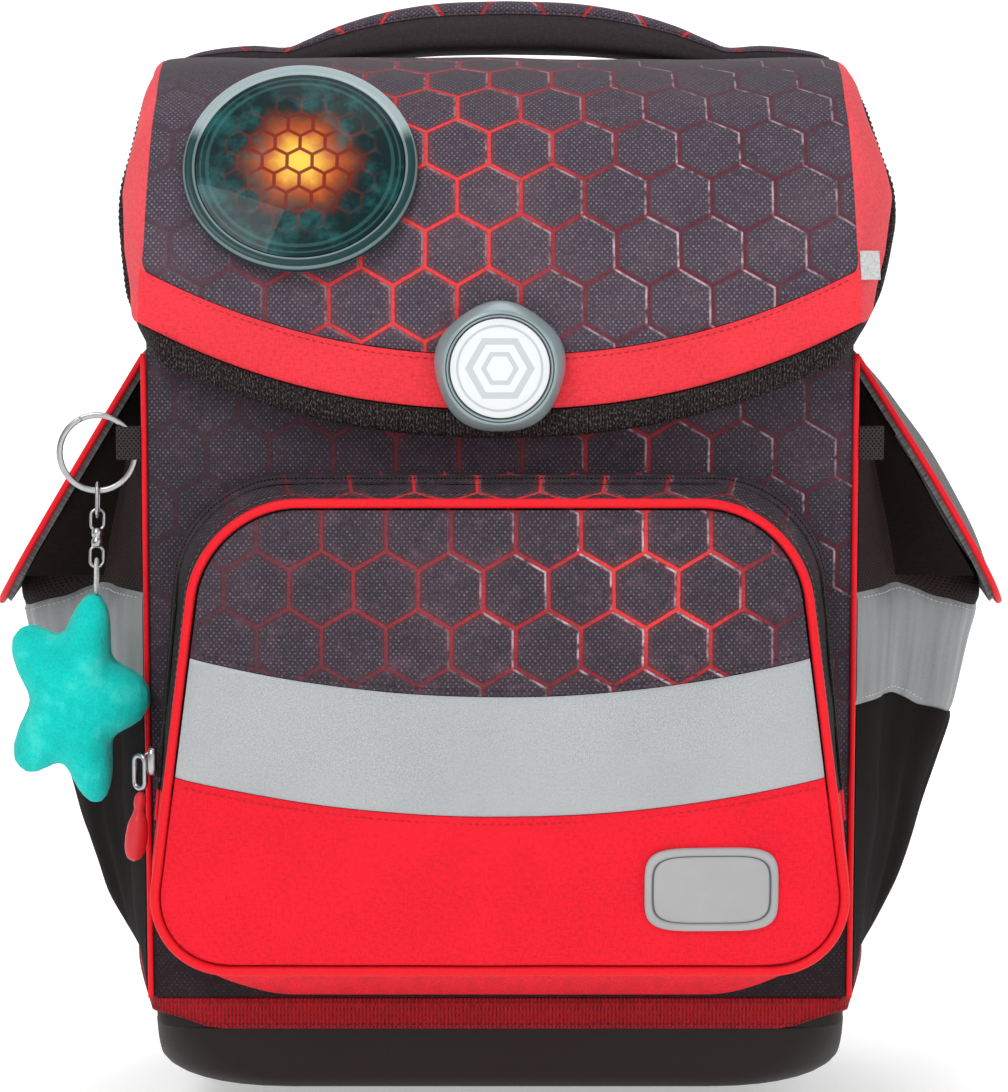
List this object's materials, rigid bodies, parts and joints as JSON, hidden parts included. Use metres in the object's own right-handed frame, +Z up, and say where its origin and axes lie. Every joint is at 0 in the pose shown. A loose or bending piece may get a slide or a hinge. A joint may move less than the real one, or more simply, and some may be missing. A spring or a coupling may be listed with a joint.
{
  "type": "school backpack",
  "caption": "Stiff box-shaped school backpack on a moulded base, with a curved lid, round lock, front and side pockets, grab handle, shoulder straps and a star charm.",
  "frame": {"origin": "underside of the base, at the middle of the whole outline seen from above", "axes": "+Z up, front towards -Y, wearer's back towards +Y, X across; left and right are as seen from the front"},
  "size_m": [0.4258, 0.2848, 0.4417],
  "materials": {
    "printed_cloth": "satin woven polyester with a printed honeycomb",
    "red_cloth": "woven polyester",
    "black_cloth": "woven polyester",
    "binding_tape": "ribbed tape",
    "red_webbing": "ribbed webbing",
    "black_webbing": "ribbed webbing",
    "mesh_cloth": "spacer mesh",
    "heather_cloth": "heather grey lining",
    "reflective_tape": "grey reflective tape",
    "base_shell": "moulded rubber-like plastic",
    "lock_metal": "satin grey lacquer",
    "lock_enamel": "white plastic disc",
    "badge_rim": "clear-coated dark teal rim",
    "badge_face": "domed resin",
    "zip_tape": "zip tape with coil",
    "pull_rubber": "soft moulded rubber",
    "patch_rubber": "soft moulded rubber",
    "label_tape": "woven label",
    "bright_metal": "nickel plating",
    "plush": "short plush pile"
  },
  "bodies": {
    "root": {"base_tray": "base_shell", "base_webbing": "red_webbing", "front_panel": "printed_cloth", "side_panel_left": "black_cloth", "side_panel_right": "black_cloth", "back_panel": "black_cloth", "edge_piping_left": "red_cloth", "edge_piping_right": "red_cloth", "lid_panel": "printed_cloth", "lid_band": "red_cloth", "lid_wing_left": "red_cloth", "lid_wing_right": "red_cloth", "lid_binding": "binding_tape", "handle": "printed_cloth", "lock_bezel": "lock_metal", "lock_cap": "lock_enamel", "lock_seat": "base_shell", "badge_rim": "badge_rim", "badge_face": "badge_face", "side_label": "label_tape", "pocket_gusset_upper": "printed_cloth", "pocket_gusset_lower": "red_cloth", "pocket_lower_panel": "red_cloth", "pocket_reflective_band": "reflective_tape", "pocket_upper_panel": "printed_cloth", "pocket_piping": "red_cloth", "pocket_zip": "zip_tape", "zip_slider": "bright_metal", "zip_puller": "bright_metal", "puller_tab": "pull_rubber", "rubber_patch": "patch_rubber", "key_ring": "bright_metal", "ring_link": "bright_metal", "swivel": "bright_metal", "star_ribbon": "label_tape", "plush_star": "plush", "side_pocket_left": "black_cloth", "side_band_left": "reflective_tape", "side_mesh_left": "mesh_cloth", "side_rivet_left": "bright_metal", "side_flap_left": "heather_cloth", "side_flap_piping_left": "red_cloth", "seam_loop_left": "black_webbing", "back_pad_left": "mesh_cloth", "shoulder_strap_left": "mesh_cloth", "strap_webbing_left": "black_webbing", "strap_adjuster_left": "base_shell", "side_pocket_right": "black_cloth", "side_band_right": "reflective_tape", "side_mesh_right": "mesh_cloth", "side_rivet_right": "bright_metal", "side_flap_right": "heather_cloth", "side_flap_piping_right": "red_cloth", "seam_loop_right": "black_webbing", "back_pad_right": "mesh_cloth", "shoulder_strap_right": "mesh_cloth", "strap_webbing_right": "black_webbing", "strap_adjuster_right": "base_shell"}
  },
  "joints": []
}
